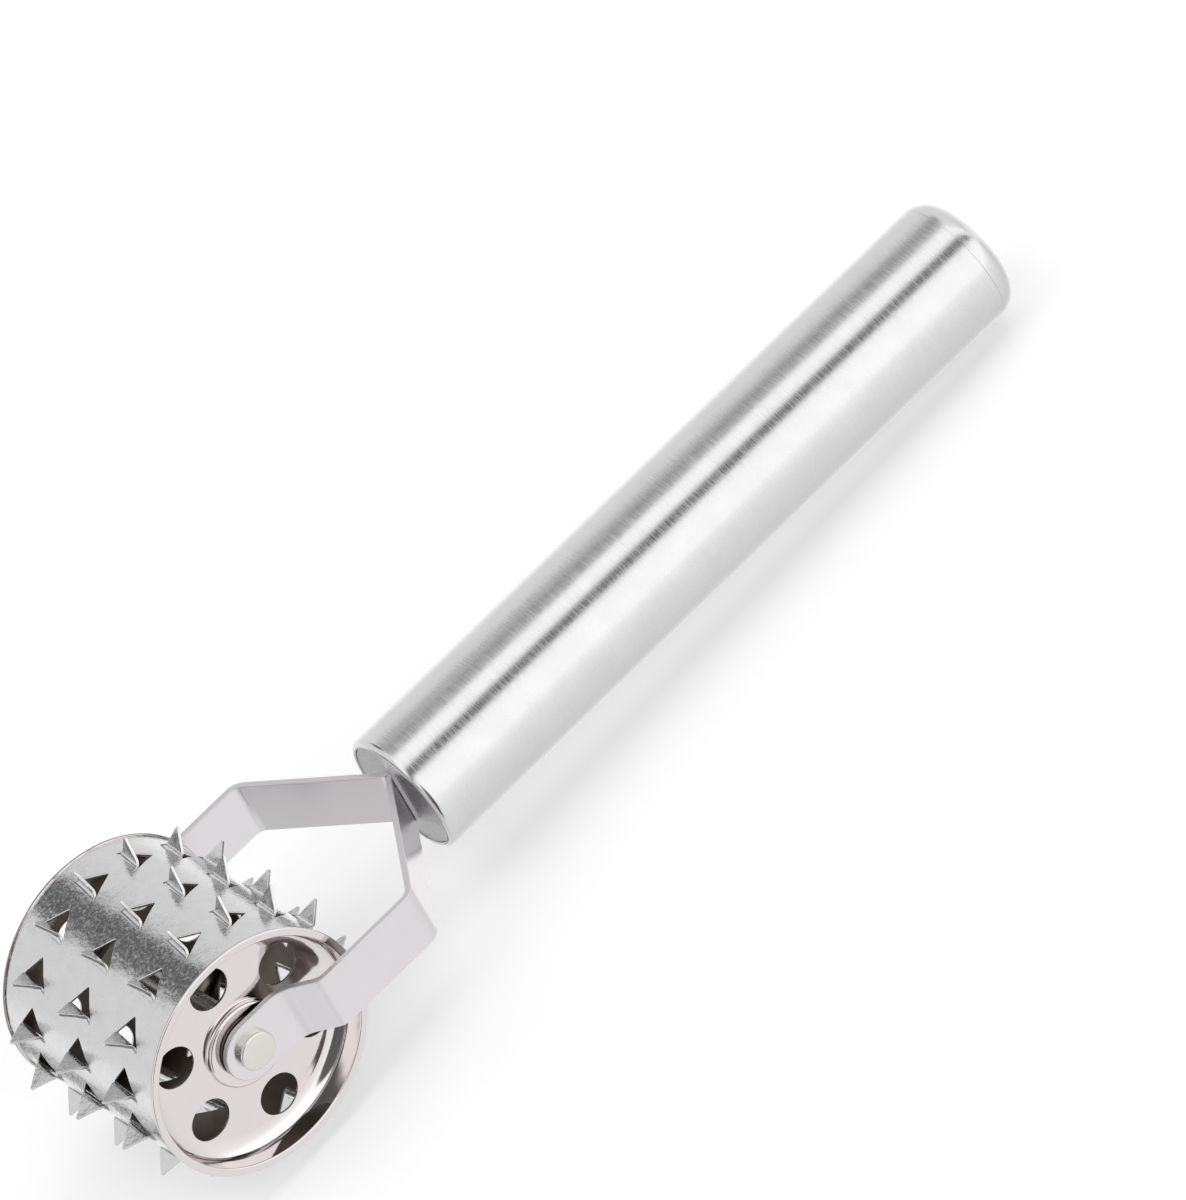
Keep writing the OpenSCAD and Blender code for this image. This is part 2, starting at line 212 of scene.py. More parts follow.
def lathe(skin, points, normals, place, sides=CAP_SIDES, shift=0.0, kinds=None):
    """Turns a line of (radius, distance along the axis) round the axis. kinds: the kind of
    each stretch of the line, if not the outer side."""
    a = np.arange(sides) * 2 * math.pi / sides
    c, s = np.cos(a), np.sin(a)
    rings = []
    for (r, h), (nr, nh) in zip(points, normals):
        if r < 1e-6:
            tip = place(np.array([[0, 0, h]])) + [shift, 0, 0]
            rings.append(skin.add(tip, place(np.array([[0, 0, nh]]))))
            continue
        ring = place(np.stack([r * c, r * s, np.full(sides, h)], 1)) + [shift, 0, 0]
        way = place(np.stack([nr * c, nr * s, np.full(sides, nh)], 1))
        rings.append(skin.add(ring, way))
    for k, (one, other) in enumerate(zip(rings, rings[1:])):
        if len(one) == 1:
            skin.fan(other, one[0])
        elif len(other) == 1:
            skin.fan(one, other[0])
        else:
            skin.bridge(one, other, kinds[k] if kinds else OUTER)


def moved_out(loop, distance):
    """A closed loop, drawn anticlockwise, moved outwards by a distance."""
    before, after = np.roll(loop, 1, 0), np.roll(loop, -1, 0)
    u, w = unit(loop - before), unit(after - loop)
    nu, nw = np.stack([u[:, 1], -u[:, 0]], 1), np.stack([w[:, 1], -w[:, 0]], 1)
    return loop + distance * (nu + nw) / (1 + (nu * nw).sum(1, keepdims=True))


def inside(points, loop):
    """Which points lie inside a closed loop."""
    x, y = points[:, :1], points[:, 1:2]
    a, b = loop, np.roll(loop, -1, 0)
    over = (a[:, 1] > y) != (b[:, 1] > y)
    rise = np.where(b[:, 1] == a[:, 1], 1e-12, b[:, 1] - a[:, 1])
    cross = a[:, 0] + (y - a[:, 1]) * (b[:, 0] - a[:, 0]) / rise
    return (over & (x < cross)).sum(1) % 2 == 1


def distance_to(points, loop):
    """Distance of each point from a closed loop."""
    a, b = loop, np.roll(loop, -1, 0)
    ab = b - a
    t = ((points[:, None] - a) * ab).sum(2) / np.maximum((ab * ab).sum(1), 1e-12)
    near = a + np.clip(t, 0, 1)[..., None] * ab
    return np.linalg.norm(points[:, None] - near, axis=2).min(1)


def sheet(skin, outline, holes, filling, front, back, edge, gap=0.2, cut_outline=True,
          inner=DULL_SHADED):
    """A sheet with holes. The outline, the holes and the filling points are flat; front()
    and back() give the two surfaces over them. Cut edges are broken by edge, and filling
    points nearer to them than gap are left out. inner: the kind of the back's faces."""
    inset = [moved_out(outline, -edge) if cut_outline else outline]
    inset += [moved_out(hole, edge) for hole in holes]
    keep = inside(filling, inset[0]) & (distance_to(filling, inset[0]) > gap)
    for loop in inset[1:]:
        keep &= ~inside(filling, loop) & (distance_to(filling, loop) > gap)
    flat = np.concatenate(inset + [filling[keep]])
    lines, start = [], 0
    for loop in inset:
        n = len(loop)
        lines += [(start + i, start + (i + 1) % n) for i in range(n)]
        start += n
    result = delaunay_2d_cdt([Vector(p) for p in flat], lines, [], 0, 1e-7)
    triangles, number = result[2], [s[0] for s in result[3]]
    triangles = np.array([[number[v] for v in t] for t in triangles])
    middle = flat[triangles].mean(1)
    real = inside(middle, inset[0])
    for loop in inset[1:]:
        real &= ~inside(middle, loop)
    sides = []
    for surface, kind in ((front, OUTER), (back, inner)):
        new = skin.add(*surface(flat))
        skin.cover(new[triangles[real]], kind)
        sides.append(new)
    start = 0
    for k, loop in enumerate(inset):
        n, exact = len(loop), ([outline] + list(holes))[k]
        ring = np.arange(start, start + n)
        start += n
        if k == 0 and not cut_outline:
            continue
        rows = []
        for surface, new in zip((front, back), sides):
            at, up = surface(exact)
            out = at - surface(loop)[0]
            rows.append((new[ring], skin.add(at - unit(up) * edge, out)))
        skin.bridge(rows[0][0], rows[0][1], CUT)
        skin.bridge(rows[0][1], rows[1][1], CUT)
        skin.bridge(rows[1][1], rows[1][0], CUT)


def circle(r, sides, cx=0.0, cy=0.0, turn=0.0):
    a = np.arange(sides) * 2 * math.pi / sides + turn
    return np.stack([cx + r * np.cos(a), cy + r * np.sin(a)], 1)


def rounded_loop(corners, radii):
    """A closed outline with rounded corners, anticlockwise."""
    corners = np.asarray(corners, float)
    start = (corners[0] + corners[-1]) / 2
    return rounded_line(np.concatenate([[start], corners, [start]]), radii, 4)[0][:-1]


def make_piece(name, skin, material, body, stands_for):
    """A finished piece from its skin, lying in the row frame."""
    mesh = skin.mesh(name, to_row(skin.points))
    mesh.normals_split_custom_set_from_vertices(turn_to_row(skin.normals).tolist())
    dress(name, mesh, material, body, stands_for)


def dress(name, mesh, material, body, stands_for):
    """Gives a mesh its material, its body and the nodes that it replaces."""
    mesh.materials.clear()
    mesh.materials.append(material)
    piece = bpy.data.objects.new(name, mesh)
    bpy.context.scene.collection.objects.link(piece)
    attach(piece, body)
    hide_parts(*stands_for)


# Materials


def colour(hex_code):
    """An sRGB hex colour as linear red, green, blue and alpha."""
    values = [int(hex_code[i:i + 2], 16) / 255 for i in (1, 3, 5)]
    return [v / 12.92 if v <= 0.04045 else ((v + 0.055) / 1.055) ** 2.4 for v in values] + [1.0]


def add_node(tree, kind, settings=None, inputs=None, links=None):
    """Adds a node; settings are its properties, inputs its values, links its sources."""
    node = tree.nodes.new(kind)
    for key, value in (settings or {}).items():
        setattr(node, key, value)
    for key, value in (inputs or {}).items():
        node.inputs[key].default_value = value
    for key, source in (links or {}).items():
        tree.links.new(source, node.inputs[key])
    return node


def metal(name, base, roughness, grain, blotch, waves, inner=None, cut=None,
          spread=(0.8, 1.2)):
    """Metal with a grain, soft blotches and an uneven surface, sized in millimetres.
    grain: width, depth, and how many times longer it is along X, Y and Z of the tool.
    blotch: width and share of the colour; the grain shows in the colour by as much.
    waves: width and depth.
    inner and cut: colour and roughness of the dull, shaded faces, whose darker colour is painted shade, and of the
    cut edges.
    spread: the least and the greatest roughness along the grain, against the mean."""
    material = bpy.data.materials.new(name)
    material.use_nodes = True
    tree = material.node_tree
    shader = tree.nodes["Principled BSDF"]
    place = add_node(tree, "ShaderNodeTexCoord").outputs["Object"]
    lie = add_node(
        tree, "ShaderNodeMapping", {"vector_type": "TEXTURE"},
        {"Location": AXLE.tolist(), "Rotation": (0, TILT, 0)}, {"Vector": place},
    ).outputs["Vector"]
    grain_mm, grain_depth, stretch = grain
    fine = [PER_METRE / (grain_mm * k) for k in stretch]
    stretched = add_node(
        tree, "ShaderNodeVectorMath", {"operation": "MULTIPLY"}, {1: fine}, {0: lie}).outputs[0]
    marks = add_node(
        tree, "ShaderNodeTexNoise", {}, {"Scale": 1.0, "Detail": 3.0, "Roughness": 0.6},
        {"Vector": stretched},
    ).outputs["Fac"]
    patches, swell = (add_node(
        tree, "ShaderNodeTexNoise", {},
        {"Scale": PER_METRE / width, "Detail": detail, "Roughness": 0.55}, {"Vector": lie},
    ).outputs["Fac"] for width, detail in ((blotch[0], 4.0), (waves[0], 2.0)))
    rgb = colour(base)[:3]
    light, dark = ([min(c * k, 1.0) for c in rgb] + [1.0]
                   for k in (1 + blotch[1], 1 - blotch[1]))
    mottle = add_node(
        tree, "ShaderNodeMix", {}, {"Factor": 0.5}, {"A": patches, "B": marks},
    ).outputs["Result"]
    tone = add_node(
        tree, "ShaderNodeMix", {"data_type": "RGBA"}, {"A": dark, "B": light}, {"Factor": mottle},
    ).outputs["Result"]
    rough = add_node(
        tree, "ShaderNodeMapRange", {},
        {"From Min": 0.3, "From Max": 0.7,
         "To Min": roughness * spread[0], "To Max": roughness * spread[1]},
        {"Value": marks},
    ).outputs["Result"]
    kind = add_node(tree, "ShaderNodeAttribute", {"attribute_name": "kind_of_face"}).outputs["Fac"]
    for finish, level in ((inner, DULL_SHADED), (cut, CUT)):
        if finish:
            here = add_node(
                tree, "ShaderNodeMath", {"operation": "COMPARE"}, {1: level, 2: 0.5}, {0: kind},
            ).outputs[0]
            tone = add_node(
                tree, "ShaderNodeMix", {"data_type": "RGBA"}, {"B": colour(finish[0])},
                {"Factor": here, "A": tone},
            ).outputs["Result"]
            rough = add_node(
                tree, "ShaderNodeMix", {}, {"B": finish[1]}, {"Factor": here, "A": rough},
            ).outputs["Result"]
    uneven = add_node(
        tree, "ShaderNodeBump", {}, {"Strength": 1.0, "Distance": waves[1] * MM},
        {"Height": swell},
    ).outputs["Normal"]
    bump = add_node(
        tree, "ShaderNodeBump", {}, {"Strength": 1.0, "Distance": grain_depth * MM},
        {"Height": marks, "Normal": uneven},
    ).outputs["Normal"]
    shader.inputs["Metallic"].default_value = 1.0
    tree.links.new(tone, shader.inputs["Base Color"])
    tree.links.new(rough, shader.inputs["Roughness"])
    tree.links.new(bump, shader.inputs["Normal"])
    return material


# Stainless tube, brushed round and round with a fine belt: its reflections are soft and
# drawn out, in bands along the tube. The brush marks, really about 0.03 mm wide, are
# drawn 0.35 mm wide, or they would not show.
brushed_tube = metal(
    "brushed_stainless_tube", "#D6D6D7", 0.22,
    grain=(0.35, 0.015, (1, 10, 10)), blotch=(5, 0.12), waves=(25, 0.01), spread=(0.7, 1.4))

# Stainless disc, punched and brushed in all directions: a dull, grainy grey. Its marks,
# really about 0.05 mm wide, are drawn 0.4 mm wide, or they would not show.
brushed_disc = metal(
    "brushed_stainless_disc", "#CECECF", 0.3,
    grain=(0.4, 0.012, (1, 1, 1)), blotch=(2, 0.12), waves=(5, 0.02))

# Cold-rolled stainless sheet, bent round with its mill finish left on: satin, cloudy and
# slightly dented by the rolling, so that what it mirrors has ragged edges and shiny
# flecks. The mill's grain, really about 0.1 mm wide, is drawn 0.6 mm wide, or it would
# not show. The sheet's inner side is dull, and painted a dark brownish grey as the shade
# inside the drum; the punched edges are fresh metal, paler than the skin and too rough
# to mirror anything.
satin_drum = metal(
    "rolled_stainless_sheet", "#D2D2D3", 0.16,
    grain=(0.6, 0.04, (1, 1, 1)), blotch=(2.2, 0.14), waves=(6, 0.18),
    inner=("#8F857E", 0.42), cut=("#DAD8D6", 0.30), spread=(0.2, 2.2))

# Bright annealed stainless sheet, drawn in a press and buffed: it mirrors its surroundings
# sharply, bent a little by the press. Its unbuffed back is dull, and painted a dark brownish
# grey as shade inside the drum; the rim's foot in the seam beside the drum gets the same
# painted shadow. The punched edges of its holes are satin.
polished_cap = metal(
    "polished_pressed_stainless", "#DED8D8", 0.07,
    grain=(3.0, 0.003, (1, 1, 1)), blotch=(6, 0.02), waves=(8, 0.06),
    inner=("#8F857E", 0.40), cut=("#C9C5C3", 0.25))

# Stainless strip, slit and bent cold: a pale, even satin with faint lines along it. The
# slit edges are rough, and a little paler as a painted highlight. The left arm's side to
# the drum is duller, and painted a darker grey as painted shade, which the polished cap mirrors.
satin_strip = metal(
    "satin_stainless_strip", "#DFDBDE", 0.22,
    grain=(0.5, 0.003, (20, 1, 1)), blotch=(5, 0.03), waves=(12, 0.04),
    inner=("#96918F", 0.30), cut=("#E2DEE0", 0.5))

# Soft steel rivet, headed cold and tumbled: a pearly sheen without any direction.
pearly_rivet = metal(
    "tumbled_steel_rivet", "#DEDBD6", 0.26,
    grain=(0.6, 0.004, (1, 1, 1)), blotch=(3, 0.03), waves=(2.5, 0.01))

# Drawn steel tube and washers, turned to length: grey, with fine marks round them.
turned_steel = metal(
    "turned_steel_tube", "#B9B6B3", 0.30,
    grain=(0.3, 0.003, (30, 1, 30)), blotch=(5, 0.03), waves=(12, 0.005))

# Acetal, turned from bar: off-white and waxy, with a low, even sheen.
acetal = bpy.data.materials.new("machined_acetal")
acetal.use_nodes = True
acetal_shader = acetal.node_tree.nodes["Principled BSDF"]
acetal_shader.inputs["Base Color"].default_value = colour("#DEDCD4")
acetal_shader.inputs["Roughness"].default_value = 0.45


# Drum: one row of the rolled sheet with its holes and teeth, repeated round the axle


def tooth_axes(place):
    """Origin and axes of a tooth's own frame in the first row, as in the part's source."""
    a, s = math.radians(FIRST_ROW_ANGLE), math.radians(FOLD_SKEW)
    outwards = np.array((math.cos(a), 0, math.sin(a)))
    onwards = np.array((-math.sin(a), 0, math.cos(a)))
    along = np.array((0, 1.0, 0))
    y = ROW_SHIFT + (place - (TEETH_PER_ROW - 1) / 2) * TOOTH_PITCH
    x_axis = along * math.cos(s) - onwards * math.sin(s)
    y_axis = onwards * math.cos(s) + along * math.sin(s)
    return outwards * DRUM_R + along * y, x_axis, y_axis, outwards


def round_drum(radius, way):
    """A surface of the rolled sheet over (distance round the drum, distance along it)."""
    def surface(flat):
        a = math.radians(FIRST_ROW_ANGLE) + flat[:, 0] / DRUM_R
        none = np.zeros(len(a))
        up = np.stack([np.cos(a), none, np.sin(a)], 1)
        return up * radius + np.stack([none, flat[:, 1], none], 1), up * way
    return surface


def hole_on_drum(place):
    """A tooth's triangular hole, laid on the rolled sheet."""
    origin, x_axis, y_axis, outwards = tooth_axes(place)
    fold_start = FOLD_R + DRUM_SHEET - HOLE_LAP
    loop = rounded_loop(
        [(POINT_OFFSET, -HOLE_LEN), (TOOTH_BASE / 2, fold_start), (-TOOTH_BASE / 2, fold_start)],
        HOLE_CORNERS)
    points = origin + loop[:, :1] * x_axis + loop[:, 1:] * y_axis
    onwards = np.cross((0, 1, 0), outwards) * -1
    around = points @ onwards
    return np.stack([DRUM_R * np.arcsin(around / DRUM_R), points[:, 1]], 1)[::-1]


def tooth_surface(place, way):
    """One face of a folded tooth over (across, distance up from the start of the fold)."""
    origin, x_axis, y_axis, outwards = tooth_axes(place)
    lean = math.radians(TOOTH_LEAN)
    turn, mid_r = math.pi / 2 + lean, FOLD_R + DRUM_SHEET / 2
    centre = np.array([FOLD_R + DRUM_SHEET, FOLD_R])

    def surface(flat):
        v = flat[:, 1]
        a = np.clip(v / mid_r, 0, turn)
        spoke = np.stack([-np.sin(a), -np.cos(a)], 1)
        beyond, before = np.maximum(v - turn * mid_r, 0), np.minimum(v, 0)
        mid = centre + spoke * mid_r
        mid = mid + beyond[:, None] * [math.sin(lean), math.cos(lean)] - before[:, None] * [1, 0]
        half = DRUM_SHEET / 2 + before * FOOT_THINS
        at = mid + spoke * (way * half)[:, None]
        up = spoke * way
        return (origin + flat[:, :1] * x_axis + at[:, :1] * y_axis + at[:, 1:] * outwards,
                up[:, :1] * y_axis + up[:, 1:] * outwards)
    return surface


def tooth(skin, place):
    mid_r = FOLD_R + DRUM_SHEET / 2
    lean = math.radians(TOOTH_LEAN)
    bent = (math.pi / 2 + lean) * mid_r
    rise = FOLD_R - mid_r * math.cos(math.pi / 2 + lean)
    length = bent + (TOOTH_H - rise) / math.cos(lean)
    point = length + TIP_CUT
    half = TOOTH_BASE / 2
    steps = [-FOOT_LEN, 0.0] + [bent * k / 8 for k in range(1, 9)]
    steps += [bent + (length - bent) * k / 4 for k in (1, 2, 3)]

    def edge_x(v, side):
        share = max(v, 0) / point
        return side * half * (1 - share) + POINT_OFFSET * share

    right = [(edge_x(v, 1), v) for v in steps]
    left = [(edge_x(v, -1), v) for v in reversed(steps)]
    tip = rounded_line([right[-1], (POINT_OFFSET, point), left[0]], (TIP_R,), 6)[0][1:-1]
    outline = np.array(right + [tuple(p) for p in tip] + left)
    filling = np.array([(x, v) for v in steps for x in (-2.4, -1.2, 0, 1.2, 2.4)])
    sheet(skin, outline, [], filling, tooth_surface(place, 1), tooth_surface(place, -1),
          edge=0.12, gap=0.25, inner=OUTER)


def drum_row():
    skin = Skin()
    step = 2 * math.pi * DRUM_R / TOOTH_ROWS
    cells, cells_before, lines_along = 24, 14, 31
    low, high = -step * cells_before / cells, step * (cells - cells_before) / cells
    end = SHELL_Y
    across, along = np.linspace(low, high, cells + 1), np.linspace(-end, end, lines_along)
    outline = np.array([(s, -end) for s in across] + [(s, end) for s in across[::-1]])
    filling = np.array([(s, y) for s in across[1:-1] for y in along[1:-1]])
    holes = [hole_on_drum(k) for k in range(TEETH_PER_ROW)]
    # The sheet's inner side is a dull, shaded face: its dark colour is painted shade inside the drum.
    sheet(skin, outline, holes, filling,
          round_drum(DRUM_R, 1), round_drum(DRUM_R - DRUM_SHEET, -1),
          edge=0.2, gap=0.3, cut_outline=False)
    for k in range(TEETH_PER_ROW):
        tooth(skin, k)
    return skin


def ring_of_rows(material):
    """Tree that repeats a row of the drum round the Y axis."""
    tree = bpy.data.node_groups.new("ring_of_rows", "GeometryNodeTree")
    tree.interface.new_socket("Row", in_out="INPUT", socket_type="NodeSocketGeometry")
    tree.interface.new_socket("Rows", in_out="INPUT", socket_type="NodeSocketInt")
    tree.interface.new_socket("Ring", in_out="OUTPUT", socket_type="NodeSocketGeometry")
    given = add_node(tree, "NodeGroupInput")
    step = add_node(tree, "ShaderNodeMath", {"operation": "DIVIDE"}, {0: -2 * math.pi},
                    {1: given.outputs["Rows"]})
    index = add_node(tree, "GeometryNodeInputIndex")
    angle = add_node(tree, "ShaderNodeMath", {"operation": "MULTIPLY"}, {},
                     {0: step.outputs[0], 1: index.outputs[0]})
    turn = add_node(tree, "ShaderNodeCombineXYZ", {}, {}, {"Y": angle.outputs[0]})
    spots = add_node(tree, "GeometryNodePoints", {}, {}, {"Count": given.outputs["Rows"]})
    copies = add_node(tree, "GeometryNodeInstanceOnPoints", {}, {}, {
        "Points": spots.outputs[0], "Instance": given.outputs["Row"], "Rotation": turn.outputs[0]})
    real = add_node(tree, "GeometryNodeRealizeInstances", {}, {}, {"Geometry": copies.outputs[0]})
    finish = add_node(tree, "GeometryNodeSetMaterial", {}, {"Material": material},
                      {"Geometry": real.outputs[0]})
    add_node(tree, "NodeGroupOutput", {}, {}, {"Ring": finish.outputs[0]})
    return tree


def make_drum():
    row = drum_row()
    points, normals = np.array(row.points) * MM, np.array(row.normals)
    maker = bpy.data.objects.new("drum_row", row.mesh("drum_row", points))
    bpy.context.scene.collection.objects.link(maker)
    tree = ring_of_rows(satin_drum)
    repeat = maker.modifiers.new("ring_of_rows", "NODES")
    repeat.node_group = tree
    sockets = {s.name: s.identifier for s in tree.interface.items_tree if s.in_out == "INPUT"}
    repeat[sockets["Rows"]] = TOOTH_ROWS
    graph = bpy.context.evaluated_depsgraph_get()
    ring = bpy.data.meshes.new_from_object(maker.evaluated_get(graph))
    bpy.data.objects.remove(maker)
    ring.name = "drum_sheet"
    # The rows' shared edges are joined, and each point gets the true normal of its surface.
    shape = bmesh.new()
    shape.from_mesh(ring)
    bmesh.ops.remove_doubles(shape, verts=shape.verts, dist=2e-6)
    shape.to_mesh(ring)
    shape.free()
    known = KDTree(len(points) * TOOTH_ROWS)
    true_normals = []
    for k in range(TOOTH_ROWS):
        turn = np.array(Matrix.Rotation(-2 * math.pi * k / TOOTH_ROWS, 3, "Y"))
        for p, n in zip(points @ turn.T, normals @ turn.T):
            known.insert(p, len(true_normals))
            true_normals.append(n)
    known.balance()
    own = np.array([true_normals[known.find(v.co)[1]] for v in ring.vertices])
    ring.transform(Matrix.Translation(AXLE) @ Matrix.Rotation(TILT, 4, "Y"))
    ring.normals_split_custom_set_from_vertices(turn_to_row(own).tolist())
    dress("drum_sheet", ring, satin_drum, "roller", ["drum_shell"])


# End caps: pressed sheet with a boss, six holes, a rounded corner, a ridge and a rim


def make_cap(name, side, node):
    skin = Skin()
    seat_r, wall_r, outer_r = BUSH_R + SEAT_GAP, CAP_R - CAP_SHEET, DRUM_R + RIM_OVERHANG
    ridge_y = FLOOR_Y + RIDGE_H
    # The corner's arc is drawn a little lower and narrower than the corner itself, so that
    # it ends before the ridge's small ledge.
    arc_h, arc_w = RIDGE_H - 0.05, CORNER_W - 0.15
    corner_angle = 2 * math.atan(arc_h / arc_w)
    corner_r = arc_w / math.sin(corner_angle)
    corner_x = RIDGE_R - CORNER_W + corner_r * math.tan(corner_angle / 2)
    line, up = rounded_line(
        [(seat_r, BOSS_Y), (BOSS_R, BOSS_Y), (BOSS_R, FLOOR_Y), (corner_x, FLOOR_Y),
         (RIDGE_R - 0.2, ridge_y - 0.07), (RIDGE_R + 0.02, ridge_y), (wall_r, RIM_Y)],
        (BOSS_SHOULDER_R, BOSS_FOOT_R, corner_r * 0.97, 0.06, 0.1), 8)
    dish = line[:, 0] < RIDGE_R
    radii, heights, slopes = line[dish, 0], line[dish, 1], up[dish]
    order = np.argsort(radii, kind="stable")
    radii = radii[order] + np.arange(len(order)) * 1e-7
    heights, slopes = heights[order], slopes[order]

    def surface(depth, way):
        place = along_axle(side)

        def over(flat):
            r = np.linalg.norm(flat, axis=1)
            h, nr, nh = (np.interp(r, radii, v) for v in (heights, slopes[:, 0], slopes[:, 1]))
            ray = flat / r[:, None]
            at = np.concatenate([flat, h[:, None]], 1)
            n = unit(np.concatenate([ray * nr[:, None], nh[:, None]], 1))
            return place(at - n * depth), place(n * way)
        return over

    rim_ring = circle(radii[-1], CAP_SIDES)
    holes = [circle(seat_r + 0.1, HOLE_SIDES)]
    first_hole = CAP_HOLE_ANGLE + (CAP_TURN if side > 0 else 0)
    for k in range(CAP_HOLES):
        a = math.radians(first_hole + 360 / CAP_HOLES * k)
        holes.append(circle(CAP_HOLE_R, HOLE_SIDES, CAP_HOLE_CIRCLE_R * math.cos(a),
                            CAP_HOLE_CIRCLE_R * math.sin(a)))
    rings = sorted(set(np.round(radii, 4)) | {10.0, 12.0, 14.0, 16.0})
    filling = np.concatenate(
        [circle(r, CAP_SIDES if r > 7 else 72) for r in rings if r > BUSH_R + 0.5])
    # The cap's back is a dull, shaded face: its dark colour is painted shade inside the drum.
    sheet(skin, rim_ring, holes, filling, surface(0, 1), surface(CAP_SHEET, -1),
          edge=0.08, gap=0.12, cut_outline=False)

    # The wall, the folded rim and the way back down, from the ridge round to the sheet's back.
    split = int(np.flatnonzero(dish)[-1])
    inner = line[split] - up[split] * CAP_SHEET
    wall, wall_up = rounded_line(
        [(wall_r - 0.2, RIM_Y - 2.2), (wall_r, RIM_Y), (outer_r, RIM_Y), (outer_r, SHELL_Y),
         (CAP_R, SHELL_Y), (RIDGE_R + CAP_SHEET + 0.1, ridge_y - CAP_SHEET / 2), inner],
        (CAP_BEND_R, CAP_BEND_R, CAP_BEND_R, 0, 0), 8)
    around = np.concatenate([line[split:-1], wall[1:]])
    # The foot of the rim, in the seam beside the drum, is a dull, shaded face: its dark colour is painted shadow
    # in the seam.
    kinds = [DULL_SHADED if r > outer_r - 0.1 and y < RIM_Y - SEAM_SHADE else OUTER
             for r, y in (around[1:] + around[:-1]) / 2]
    lathe(skin, around, np.concatenate([up[split:-1], wall_up[1:]]), along_axle(side), kinds=kinds)
    make_piece(name, skin, polished_cap, "roller", [node])


# Fork arms: one strip each, with a round end at the axle


def make_arm(name, side, node):
    skin = Skin()
    tab, arm, root = ARM_INNER_Y + STRIP_T / 2, RIM_Y + ARM_GAP + STRIP_T / 2, STRIP_T / 2
    step_start = STEP_X - (arm - tab) / math.tan(math.radians(STEP_ANGLE))
    line, up = rounded_line(
        [(-STRIP_W, tab), (step_start, tab), (STEP_X, arm), (FORK_BEND_X, arm),
         (HANDLE_X - ROOT_IN, root), (HANDLE_X + TANG_LEN, root)],
        (GENTLE_BEND_R, SHARP_BEND_R, SHARP_BEND_R, STRIP_T), 10)
    # The strip's middle line by its length, counted from the axle.
    pieces = np.linalg.norm(np.diff(line, axis=0), axis=1)
    run = np.concatenate([[0], np.cumsum(pieces)]) - STRIP_W + np.arange(len(line)) * 1e-7

    def surface(way):
        def over(flat):
            x, y, nx, ny = (np.interp(flat[:, 0], run, v) for v in (*line.T, *up.T))
            n = unit(np.stack([nx, ny], 1))
            at = np.stack([x, y], 1) + n * STRIP_T / 2 * way
            return (np.stack([at[:, 0], side * at[:, 1], flat[:, 1]], 1),
                    np.stack([n[:, 0], side * n[:, 1], np.zeros(len(n))], 1) * way)
        return over

    half = STRIP_W / 2
    stops = sorted(set(np.round(run[run > 0.5], 4)) | set(np.round(np.arange(2, run[-1], 2.5), 4)))
    stops = [s for i, s in enumerate(stops) if i == 0 or s - stops[i - 1] > 0.02]
    end_arc = circle(half, HOLE_SIDES, turn=math.pi / 2)[:HOLE_SIDES // 2 + 1]
    outline = np.concatenate(
        [end_arc, [(s, -half) for s in stops], [(s, half) for s in stops[::-1]]])
    widths = np.linspace(-half, half, 9)[1:-1]
    filling = np.array([(s, w) for s in [-4.0, -2.0] + stops for w in widths])
    # Only the left arm's side to the drum is a dull, shaded face: its darker grey is painted shade, seen mirrored
    # in the polished cap.
    sheet(skin, outline, [circle(RIVET_R + SEAT_GAP, 32)], filling, surface(1), surface(-1),
          edge=0.18, gap=0.05, inner=DULL_SHADED if side < 0 else OUTER)
    make_piece(name, skin, satin_strip, "frame", [node])


# Rivet, with its domed head on the left and the hammered one on the right


def head_line(h, base):
    """A head with a low dome, a rounded edge and a straight side, from its middle down."""
    rise = 0.1 * h
    dome_r = (RIVET_HEAD_R ** 2 + rise ** 2) / (2 * rise)
    dome = [(dome_r * math.sin(a), base + h - dome_r * (1 - math.cos(a)))
            for a in np.linspace(0, math.asin(RIVET_HEAD_R / dome_r), 6)]
    return rounded_line(dome + [(RIVET_HEAD_R, base), (RIVET_R, base)],
                        [0.45 * dome_r] * 4 + [HEAD_EDGE_R, 0.0], 5)


def make_rivet():
    skin = Skin()
    for side, h in ((-1, RIVET_HEAD_H), (1, PEENED_HEAD_H)):
        line, up = head_line(h, ARM_OUTER_Y)
        line = np.concatenate([line, [(RIVET_R, ARM_OUTER_Y), (RIVET_R, 0)]])
        up = np.concatenate([up, [(1, 0), (1, 0)]])
        lathe(skin, line, up, along_axle(side), 96)
    make_piece("rivet", skin, pearly_rivet, "frame", ["axle_rivet"])


# Handle: tube with a rounded lip, slotted front disc and round-edged rear cap


def make_tube():
    skin = Skin()
    rear, disc_back = HANDLE_LEN - REAR_EDGE_R, DISC_SET_IN + DISC_T
    bore_r = HANDLE_R - HANDLE_WALL
    line, up = rounded_line(
        [(MOUTH_R, disc_back), (MOUTH_R, 0), (HANDLE_R, 0), (HANDLE_R, rear), (bore_r, rear),
         (bore_r, disc_back), (MOUTH_R, disc_back)],
        (0.12, LIP_R - 0.15, 0.06, 0.06, 0), 8)
    lathe(skin, line, up, along_handle, HANDLE_SIDES, HANDLE_X)
    make_piece("brushed_handle", skin, brushed_tube, "frame", ["handle_tube"])


